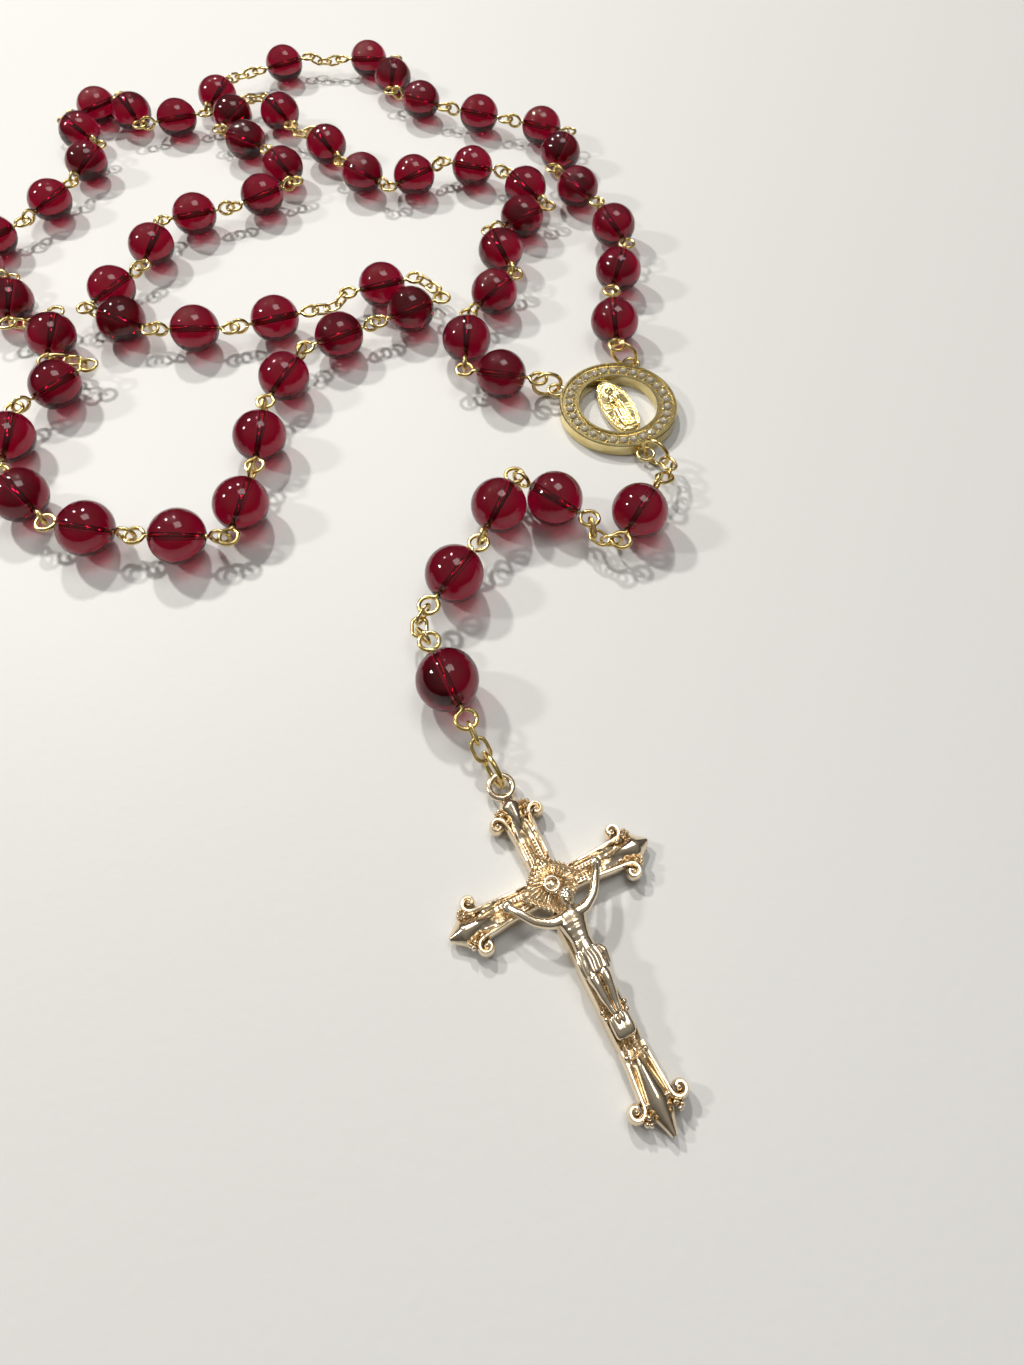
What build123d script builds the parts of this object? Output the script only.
"""A five-decade chain rosary, laid out loosely on a flat surface, as an assembly of its separate pieces.

Units are millimetres. +X is right, +Y is towards the far side of the lay, +Z is up and z = 0 is the
surface that the rosary rests on. The origin is the bottom centre of the whole assembly's box.

Every bead turns on its own eye pin. An eye pin is one wire with a round eye at each end. Eyes, small
chain links and jump rings are threaded through each other without touching: flat ones lie level and
upright ones stand on edge, in turn.
"""
import math
import os

from build123d import *

# Beads and their pins
BEAD_D = 8.0
BEAD_HOLE_D = 0.78
PIN_WIRE_D = 0.6
SHANK_D = 0.56           # the wire inside the bead, drawn a little thinner than at the eyes
EYE_R = 1.3            # wire's centre line
EYE_REACH = 6.0        # bead's centre to eye's centre
BEAD_Z = BEAD_D / 2

# Small oval chain links and round jump rings
LINK_WIRE_D = 0.5
LINK_LONG = 1.45       # half the length of the wire's centre line
LINK_SHORT = 0.95      # half its width, and the radius of its round ends
RING_WIRE_D = 0.65
RING_R = 2.2
RING_Z = 2.6

# Distances between threaded loops, a little less than pulled tight
LINK_PITCH = 2.1       # from the hook at one end of a link to the hook at its other end
LINK_SLIDE = 0.2       # how much shorter where a short gap lets the links slide together
EYE_HOOK = 0.9         # flat eye's centre to the hook of its link
EYE_SLIDE = 0.4
UPRIGHT_HOOK = 0.85    # hook of a flat link to an upright eye's centre
RING_HOOK = 1.83       # ring's centre to the hook of its link
MOST_BEND = 42         # degrees between neighbouring links
LUG_Z = 1.1

# Centre medal: a stone-set ring around an oval plaque with a standing robed figure
MEDAL_CENTRE = (16.8, 109.2)
MEDAL_UP = 110         # heading of the figure's head
MEDAL_R = 9.3
MEDAL_BORE_R = 6.15
MEDAL_THICK = 2.2
MEDAL_RIM = 0.45       # width of the two raised borders beside the stones
MEDAL_FLOOR_Z = 1.9    # level of the sunk band that holds the stones
LUG_R = 1.25
LUG_WIRE_D = 0.6
LUG_OUT = MEDAL_R + 1.2
LUG_TURNS = {"right": -36, "left": 48, "bottom": 180}
STONE_COUNT = 30
STONE_R = 0.68
PLAQUE_HALF = (2.6, 6.3)
PLAQUE_Z = (0.5, 1.3)
PRONG_R = 0.2
PRONG_OUT = 0.68       # from the stones' circle to each row of prongs
SEAT_DEPTH = 0.4
CROWN_HEIGHT = 0.25
TABLE_R = 0.38
# The medal's robed figure: sections up the plaque, each a place, half-width and half-depth.
ROBE = [(-4.4, 1.35, 0.5), (-2.5, 1.2, 0.55), (0.5, 0.95, 0.6), (2.3, 0.85, 0.5), (3.0, 0.35, 0.3)]
ROBE_HEAD_Y = 3.6
ROBE_HEAD_R = 0.62

# Crucifix. Its own frame has the crossing at the origin, +Y up the cross and z = 0 at the back.
CROSS_UP = 116         # heading of the cross's top
CROSS_THICK = 2.4
CROSS_HALF_WIDTH = 1.4
CROSS_TOP = 12.0
CROSS_FOOT = 25.8
CROSS_ARM = 12.3
TIP_LENGTH = 3.6       # pyramid at each arm's end
TIP_HALF_WIDTH = 1.45
GROOVE = (0.45, 0.5)   # width and depth of the two grooves along each arm
SCROLL_R = 1.05
SCROLL_HEIGHT = 2.0
SCROLL_HOLE_R = 0.4
SCROLL_OUT = 2.45      # from an arm's centre line
SCROLL_BACK = 3.3      # from an arm's tip
BUD_R = 0.42
BAIL_OUT = 13.0
BAIL_R = 1.4
BAIL_WIRE_D = 0.8
BAIL_Z = 1.3
BURST_HALF = 3.7       # centre to corner of the rayed square plate
BURST_TOP_Z = 2.65
HALO_R = (0.5, 0.95)
HALO_HEIGHT = 0.4
PALM_X = 5.3
PALM_Y = -0.3
PALM_R = 0.62
ARM_TUBE_R = 0.36
SHOULDER_Y = -3.9
# Sections of the figure down the cross: distance below the crossing, half-width, half-depth.
TORSO = [(3.4, 0.9, 0.5), (4.2, 1.25, 0.75), (5.4, 1.1, 0.78), (6.7, 0.85, 0.65), (7.9, 1.0, 0.75)]
LOINCLOTH = [(7.7, 1.15, 0.8), (9.0, 1.35, 0.88), (10.2, 1.2, 0.85)]
LEGS = [(10.0, 1.0, 0.7), (11.5, 0.98, 0.88), (13.0, 0.75, 0.65), (14.4, 0.55, 0.5)]
FOOT_BLOCK = (1.7, 2.4)  # its width and length
FIGURE_Z = 3.3         # middle of the figure's depth

# The lay of each decade: the first eye's place, the pitch and the heading of each pin in turn.
DECADES = [
    ((17.2, 120.7), 13.85, [90, 75, 110, 125, 75, 160, 160, 150, 90, 180]),
    ((-62.7, 206.4), 13.6, [262, 200, 120, 227, 315, 262, 247, 230, 332, 285]),
    ((-68.3, 115.9), 13.2, [228, 279, 316, 350, 359, 84, 92, 70, 29, 31]),
    ((-34.3, 129.2), 13.4, [199, 181, 156, 59, 88, 19, 39, 123, 145, 75]),
    ((-40.7, 186.0), 13.4, [300, 320, 41, 343, 304, 216, 290, 234, 269, 350]),
]
# Our Father beads between the decades: centre and heading of the pin.
OUR_FATHERS = [
    ((-51.1, 213.8), 212),
    ((-76.4, 123.0), 280),
    ((-22.7, 136.1), 200),
    ((-49.0, 193.3), 300),
]
# Side that each of the loop's eight link groups bows to, and how far it leans down, in degrees.
LINK_BOWS = [(1, 40), (-1, 40), (-1, 30), (1, 40), (-1, 40), (1, 40), (1, 30), (-1, 35)]

# The pendant, from the medal's bottom lug down: the heading of each piece in turn.
TOP_RING = -40
TOP_LINKS = [-72, -106, -142]
TOP_HEIGHTS = [2.4, 2.7, 3.2, 3.8]
TOP_FATHER = 240
TRIO = ((10.9, 84.6), 13.25, [143, 248, 238])
TRIO_BOW = (1, 40)
LOW_FATHER = ((-8.1, 59.2), 295)
LOW_BOW = (-1, 40)
FINAL_LINKS = [-63, -60]
FINAL_HEIGHTS = [3.4, 2.6]
FINAL_RING = -58


def ahead(heading):
    """Unit vector of a heading in degrees, counted from +X towards +Y."""
    angle = math.radians(heading)
    return Vector(math.cos(angle), math.sin(angle), 0)


def at(point, height):
    return Vector(point[0], point[1], height)


class Pin:
    """An eye pin with its bead. Each eye is flat or upright."""

    def __init__(self, centre, heading, upright=(False, True)):
        self.centre = centre
        self.heading = heading
        self.upright = upright

    def eye(self, end):
        """Centre of the first (0) or last (1) eye."""
        reach = EYE_REACH if end else -EYE_REACH
        return self.centre + ahead(self.heading) * reach

    def location(self):
        return Location(tuple(self.centre), (0, 0, self.heading))

    def normal(self, end):
        """Direction square to an eye's plane."""
        return ahead(self.heading + 90) if self.upright[end] else Vector(0, 0, 1)


class Loop:
    """A link or a ring: its centre, the direction of its length and whether it stands upright."""

    def __init__(self, kind, centre, along, upright):
        self.kind = kind
        self.centre = centre
        self.along = along.normalized()
        self.upright = upright

    def normal(self):
        up = Vector(0, 0, 1)
        if self.upright:
            return self.along.cross(up).normalized()
        return (up - self.along * up.dot(self.along)).normalized()

    def location(self):
        return Plane(origin=self.centre, x_dir=self.along, z_dir=self.normal()).location


def decade_pins(start, pitch, headings):
    """Pins hooked eye in eye, each flat eye one pitch after the last. The last eye is flat too."""
    pins = []
    eye = at(start, BEAD_Z)
    for heading in headings:
        pins.append(Pin(eye + ahead(heading) * EYE_REACH, heading))
        eye = eye + ahead(heading) * pitch
    pins[-1].upright = (False, False)
    return pins


def bowed_links(start, end, side, lean):
    """Three links, upright, flat and upright, from one flat eye's centre to another's.

    The middle link runs straight across the gap. The outer two slope towards it, to the side (1 is
    left of the way across, -1 right) and down by the lean. A short gap lets the loops slide together.
    """
    across = (end - start).normalized()
    sideways = Vector(-across.Y, across.X, 0) * side
    tilt = math.radians(lean)
    bow = sideways * math.cos(tilt) + Vector(0, 0, -1) * math.sin(tilt)
    gap = (end - start).length

    def span(slope, hook, pitch):
        level = math.atan2(math.sin(slope) * math.cos(tilt), math.cos(slope))
        return 2 * hook * math.cos(level) + 2 * pitch * math.cos(slope) + pitch

    for slide in (0, 0.25, 0.5, 0.75, 1):
        hook = EYE_HOOK - slide * EYE_SLIDE
        pitch = LINK_PITCH - slide * LINK_SLIDE
        if span(0.0, hook, pitch) < gap:
            raise ValueError(f"the gap of {gap:.2f} mm is too long for its links")
        low, high = 0.0, math.radians(75)
        for _ in range(40):
            slope = (low + high) / 2
            if span(slope, hook, pitch) > gap:
                low = slope
            else:
                high = slope
        if slope < math.radians(MOST_BEND):
            break
    outward = across * math.cos(slope) + bow * math.sin(slope)
    inward = across * math.cos(slope) - bow * math.sin(slope)
    corner = start + Vector(outward.X, outward.Y, 0).normalized() * hook
    loops = []
    for index, along in enumerate((outward, across, inward)):
        loops.append(Loop("link", corner + along * (pitch / 2), along, index != 1))
        corner = corner + along * pitch
    return loops


class Thread:
    """Walks along the pendant, placing each piece from the one that it hangs on."""

    def __init__(self, lug):
        self.point = lug
        self.loops = []

    def ring(self, heading, from_lug):
        """An upright ring, hung on a lug or on the link before it."""
        along = ahead(heading)
        reach = math.sqrt(RING_R ** 2 - (RING_Z - self.point.Z) ** 2) if from_lug else RING_HOOK
        centre = Vector(self.point.X, self.point.Y, RING_Z) + along * reach
        self.loops.append(Loop("ring", centre, along, True))
        self.point = centre + along * RING_HOOK

    def links(self, headings, heights, upright):
        """Upright and flat links in turn, with these headings, joined at these heights."""
        for heading, height in zip(headings, heights):
            drop = height - self.point.Z
            along = ahead(heading) * math.sqrt(LINK_PITCH ** 2 - drop ** 2) + Vector(0, 0, drop)
            self.loops.append(Loop("link", self.point + along * 0.5, along, upright))
            self.point = self.point + along
            upright = not upright


def lug_centre(name):
    centre = at(MEDAL_CENTRE, LUG_Z)
    return centre + ahead(MEDAL_UP + LUG_TURNS[name]) * LUG_OUT


def ring_between(start, end):
    """One upright ring threaded through a flat lug and a flat eye."""
    across = Vector(end.X - start.X, end.Y - start.Y, 0)
    middle = (start + end) * 0.5
    return Loop("ring", Vector(middle.X, middle.Y, RING_Z), across, True)


def lay_out():
    """Places of every bead, pin, link and ring, before the origin is moved to the box's centre."""
    decades = [decade_pins(start, pitch, headings) for start, pitch, headings in DECADES]
    fathers = [Pin(at(centre, BEAD_Z), heading, (False, False)) for centre, heading in OUR_FATHERS]
    links = []
    for index, father in enumerate(fathers):
        before = decades[index][-1].eye(1)
        after = decades[index + 1][0].eye(0)
        links.append(bowed_links(before, father.eye(0), *LINK_BOWS[2 * index]))
        links.append(bowed_links(father.eye(1), after, *LINK_BOWS[2 * index + 1]))
    thread = Thread(lug_centre("bottom"))
    thread.ring(TOP_RING, from_lug=True)
    thread.point = Vector(thread.point.X, thread.point.Y, TOP_HEIGHTS[0])
    thread.links(TOP_LINKS, TOP_HEIGHTS[1:], upright=False)
    top_eye = thread.point + ahead(TOP_FATHER) * UPRIGHT_HOOK
    top = Pin(at((top_eye.X, top_eye.Y), BEAD_Z) + ahead(TOP_FATHER) * EYE_REACH, TOP_FATHER, (True, False))
    trio = decade_pins(*TRIO)
    low = Pin(at(LOW_FATHER[0], BEAD_Z), LOW_FATHER[1], (False, False))
    final = Thread(low.eye(1) + ahead(FINAL_LINKS[0]) * EYE_HOOK)
    final.links(FINAL_LINKS, FINAL_HEIGHTS, upright=True)
    final.ring(FINAL_RING, from_lug=False)
    ring = final.loops[-1]
    bail = ring.centre + ring.along * math.sqrt(RING_R ** 2 - (RING_Z - BAIL_Z) ** 2)
    return {
        "decades": decades, "fathers": fathers, "links": links,
        "ring_right": ring_between(lug_centre("right"), decades[0][0].eye(0)),
        "ring_left": ring_between(decades[-1][-1].eye(1), lug_centre("left")),
        "bottom": thread.loops, "top": top, "upper": bowed_links(top.eye(1), trio[0].eye(0), *TRIO_BOW),
        "trio": trio, "lower": bowed_links(trio[-1].eye(1), low.eye(0), *LOW_BOW), "low": low,
        "final": final.loops,
        "bail": Vector(bail.X, bail.Y, BAIL_Z),
    }


def bead_shape():
    return Sphere(BEAD_D / 2) - Cylinder(BEAD_HOLE_D / 2, BEAD_D + 1, rotation=(0, 90, 0))


def pin_shape(upright):
    pin = Cylinder(SHANK_D / 2, 2 * (EYE_REACH - EYE_R), rotation=(0, 90, 0))
    for side, stands in zip((-1, 1), upright):
        turn = (90, 0, 0) if stands else (0, 0, 0)
        pin += Location((side * EYE_REACH, 0, 0), turn) * Torus(EYE_R, PIN_WIRE_D / 2)
    return pin


def link_shape():
    """An oval link, long along X and flat in XY: two round ends joined by two straight sides."""
    straight = LINK_LONG - LINK_SHORT
    size = 4 * LINK_SHORT
    half = Torus(LINK_SHORT, LINK_WIRE_D / 2) - Pos(-size / 2, 0, 0) * Box(size, size, size)
    side = Cylinder(LINK_WIRE_D / 2, 2 * straight, rotation=(0, 90, 0))
    link = Pos(straight, 0, 0) * half + Pos(-straight, 0, 0) * Rot(0, 0, 180) * half
    return link + Pos(0, LINK_SHORT, 0) * side + Pos(0, -LINK_SHORT, 0) * side


def ring_shape():
    return Torus(RING_R, RING_WIRE_D / 2)


def medal_place():
    """The medal's own frame: its bottom at z = 0 and +Y towards the figure's head."""
    return Location((MEDAL_CENTRE[0], MEDAL_CENTRE[1], 0), (0, 0, MEDAL_UP - 90))


def around(radius, count, first=0.0):
    """Places evenly spaced on a circle about the origin."""
    return [Rot(0, 0, first + 360 * index / count) * Pos(radius, 0, 0) for index in range(count)]


def medal_frame():
    """The round frame with its stone seats, prongs and three lugs."""
    band = (MEDAL_BORE_R + MEDAL_RIM, MEDAL_R - MEDAL_RIM)
    stones_r = (band[0] + band[1]) / 2
    frame = Pos(0, 0, MEDAL_THICK / 2) * (
        Cylinder(MEDAL_R, MEDAL_THICK) - Cylinder(MEDAL_BORE_R, MEDAL_THICK + 1)
    )
    sunk = Pos(0, 0, MEDAL_FLOOR_Z + 0.5) * (Cylinder(band[1], 1) - Cylinder(band[0], 1))
    seat = Pos(0, 0, MEDAL_FLOOR_Z) * Cylinder(STONE_R, 2 * SEAT_DEPTH)
    frame -= [sunk] + [place * seat for place in around(stones_r, STONE_COUNT)]
    half_step = 180 / STONE_COUNT
    prong = Pos(0, 0, MEDAL_FLOOR_Z) * Sphere(PRONG_R)
    for radius in (stones_r - PRONG_OUT, stones_r + PRONG_OUT):
        frame += [place * prong for place in around(radius, STONE_COUNT, half_step)]
    frame = medal_place() * frame
    for name in LUG_TURNS:
        frame += Location(tuple(lug_centre(name))) * Torus(LUG_R, LUG_WIRE_D / 2)
    return frame


def medal_stones():
    """Round stones, each standing in its seat, with a sloped crown and a flat table."""
    stones_r = (MEDAL_BORE_R + MEDAL_R) / 2
    girdle = Pos(0, 0, MEDAL_FLOOR_Z - SEAT_DEPTH / 2) * Cylinder(STONE_R, SEAT_DEPTH)
    crown = Pos(0, 0, MEDAL_FLOOR_Z + CROWN_HEIGHT / 2) * Cone(STONE_R, TABLE_R, CROWN_HEIGHT)
    return [medal_place() * place * (girdle + crown) for place in around(stones_r, STONE_COUNT)]


def medal_figure():
    """An oval plaque across the frame's bore, with a plain robed figure standing on it."""
    low, high = PLAQUE_Z
    plaque = Pos(0, 0, low) * extrude(Ellipse(*PLAQUE_HALF), high - low)
    plaque = plaque & Pos(0, 0, MEDAL_THICK / 2) * Cylinder(MEDAL_BORE_R, MEDAL_THICK)
    robe = section_loft(ROBE, high, upwards=True)
    head = Pos(0, ROBE_HEAD_Y, high + 0.3) * Sphere(ROBE_HEAD_R)
    above = Pos(0, 0, high + 1) * Box(20, 20, 2)
    return medal_place() * (plaque + ((robe + head) & above))


def section_loft(sections, z, upwards=False):
    """A rounded body through oval sections, each a distance along Y with its half-width and half-depth."""
    way = 1 if upwards else -1
    ovals = []
    for distance, width, depth in sections:
        plane = Plane(origin=(0, way * distance, z), x_dir=(1, 0, 0), z_dir=(0, way, 0))
        ovals.append(plane * Ellipse(width, depth))
    return loft(ovals)


def cross_place(bail):
    centre = bail - ahead(CROSS_UP) * BAIL_OUT
    return Location((centre.X, centre.Y, 0), (0, 0, CROSS_UP - 90))


def cross_arm(length):
    """One arm of the cross along +Y: grooved bar, pyramid tip, and a scroll and buds on each side."""
    half = CROSS_HALF_WIDTH
    neck = length - TIP_LENGTH
    scroll_y = length - SCROLL_BACK
    outline = Polyline(
        (-half, 0), (-half, neck - 3), (-SCROLL_OUT, scroll_y - 0.8), (-SCROLL_OUT, scroll_y + 0.5),
        (-TIP_HALF_WIDTH, neck + 1), (TIP_HALF_WIDTH, neck + 1), (SCROLL_OUT, scroll_y + 0.5),
        (SCROLL_OUT, scroll_y - 0.8), (half, neck - 3), (half, 0), (-half, 0),
    )
    arm = extrude(make_face(outline), CROSS_THICK)
    width, depth = GROOVE
    groove = Pos(0, neck / 2, CROSS_THICK) * Box(width, neck - 1, 2 * depth)
    arm -= [Pos(side * half / 2, 0, 0) * groove for side in (-1, 1)]
    middle = CROSS_THICK / 2
    base = Plane(origin=(0, neck, middle), x_dir=(1, 0, 0), z_dir=(0, 1, 0))
    widest = base.offset(TIP_LENGTH / 2)
    end = base.offset(TIP_LENGTH)
    arm += loft([
        base * Rectangle(1.2 * TIP_HALF_WIDTH, 0.7 * CROSS_THICK),
        widest * Rectangle(2 * TIP_HALF_WIDTH, CROSS_THICK),
        end * Rectangle(0.3, 0.3),
    ], ruled=True)
    for side in (-1, 1):
        place = Pos(side * SCROLL_OUT, scroll_y, middle)
        arm += place * Cylinder(SCROLL_R, SCROLL_HEIGHT)
        arm -= place * Cylinder(SCROLL_HOLE_R, CROSS_THICK + 1)
        arm += Pos(side * (TIP_HALF_WIDTH + 0.5), scroll_y + 1.3, middle) * Sphere(BUD_R)
    return arm


def crucifix_cross():
    cross = cross_arm(CROSS_TOP)
    for turn, length in ((90, CROSS_ARM), (180, CROSS_FOOT), (270, CROSS_ARM)):
        cross += Rot(0, 0, turn) * cross_arm(length)
    cross += extrude(RegularPolygon(BURST_HALF, 4, rotation=0), BURST_TOP_Z)
    return cross + Pos(0, BAIL_OUT, BAIL_Z) * Torus(BAIL_R, BAIL_WIRE_D / 2)


def crucifix_halo():
    inner, outer = HALO_R
    ring = Cylinder(outer, HALO_HEIGHT) - Cylinder(inner, HALO_HEIGHT + 1)
    return Pos(0, 0, BURST_TOP_Z + HALO_HEIGHT / 2) * ring


def crucifix_corpus():
    """A plain figure, held to the cross by its palms and its foot block."""
    figure = section_loft(TORSO, FIGURE_Z) + section_loft(LOINCLOTH, FIGURE_Z) + section_loft(LEGS, FIGURE_Z)
    width, length = FOOT_BLOCK
    block_y = -LEGS[-1][0] - length / 2 + 0.1
    figure += Pos(0, block_y, (CROSS_THICK + FIGURE_Z) / 2) * Box(width, length, FIGURE_Z - CROSS_THICK)
    figure += Location((0.35, -2.5, FIGURE_Z + 0.45), (0, 0, -12)) * scale(Sphere(1), (0.72, 0.98, 0.72))
    figure += Pos(0.1, -3.4, FIGURE_Z + 0.1) * Sphere(0.5)
    for side in (-1, 1):
        palm = (side * PALM_X, PALM_Y, CROSS_THICK + ARM_TUBE_R + 0.1)
        shoulder = (side * 1.0, SHOULDER_Y, FIGURE_Z)
        sag = (side * 3.4, -2.7, FIGURE_Z + 0.1)
        path = Spline(palm, sag, shoulder)
        figure += sweep(Plane(origin=path @ 0, z_dir=path % 0) * Circle(ARM_TUBE_R), path)
        figure += Pos(side * PALM_X, PALM_Y, CROSS_THICK + 0.35) * Cylinder(PALM_R, 0.7)
    return figure


def build_parts():
    """Every node's solids, by the node's name, in the lay's own place."""
    lay = lay_out()
    bead = bead_shape()
    link = link_shape()
    ring = ring_shape()
    pins = {ends: pin_shape(ends) for ends in ((False, True), (False, False), (True, False))}
    parts = {}
    for number, decade in enumerate(lay["decades"], 1):
        parts[f"glass_beads_decade_{number}"] = [pin.location() * bead for pin in decade]
        parts[f"eye_pins_decade_{number}"] = [pin.location() * pins[pin.upright] for pin in decade]
    for number, pin in enumerate(lay["fathers"], 1):
        parts[f"our_father_bead_{number}"] = [pin.location() * bead]
        parts[f"our_father_pin_{number}"] = [pin.location() * pins[pin.upright]]
    for number, loops in enumerate(lay["links"], 1):
        parts[f"chain_links_{number}"] = [loop.location() * link for loop in loops]
    for side in ("left", "right"):
        parts[f"medal_ring_{side}"] = [lay[f"ring_{side}"].location() * ring]
    parts["medal_frame"] = [medal_frame()]
    parts["medal_stones"] = medal_stones()
    parts["medal_figure"] = [medal_figure()]
    for number, pin in enumerate([lay["top"], *lay["trio"], lay["low"]], 1):
        parts[f"pendant_bead_{number}"] = [pin.location() * bead]
        parts[f"pendant_pin_{number}"] = [pin.location() * pins[pin.upright]]
    parts["medal_bottom_ring"] = [lay["bottom"][0].location() * ring]
    pendant_links = lay["bottom"][1:] + lay["upper"] + lay["lower"] + lay["final"][:-1]
    for number, loop in enumerate(pendant_links, 1):
        parts[f"pendant_link_{number}"] = [loop.location() * link]
    parts["crucifix_ring"] = [lay["final"][-1].location() * ring]
    place = cross_place(lay["bail"])
    parts["crucifix_cross"] = [place * crucifix_cross()]
    parts["crucifix_corpus"] = [place * crucifix_corpus()]
    parts["crucifix_halo"] = [place * crucifix_halo()]
    return parts


def origin_shift(parts):
    """The move that brings the bottom centre of the whole assembly's box to the origin."""
    boxes = [solid.bounding_box() for solids in parts.values() for solid in solids]
    lowest = [min(getattr(box.min, axis) for box in boxes) for axis in "XYZ"]
    highest = [max(getattr(box.max, axis) for box in boxes) for axis in "XYZ"]
    return Pos(-(lowest[0] + highest[0]) / 2, -(lowest[1] + highest[1]) / 2, -lowest[2])


def main():
    parts = build_parts()
    shift = origin_shift(parts)
    os.makedirs("parts", exist_ok=True)
    for name, solids in parts.items():
        node = Compound(label=name, children=[shift * solid for solid in solids])
        export_step(node, f"parts/{name}.step")
    print("shift", shift.position)


if __name__ == "__main__":
    main()
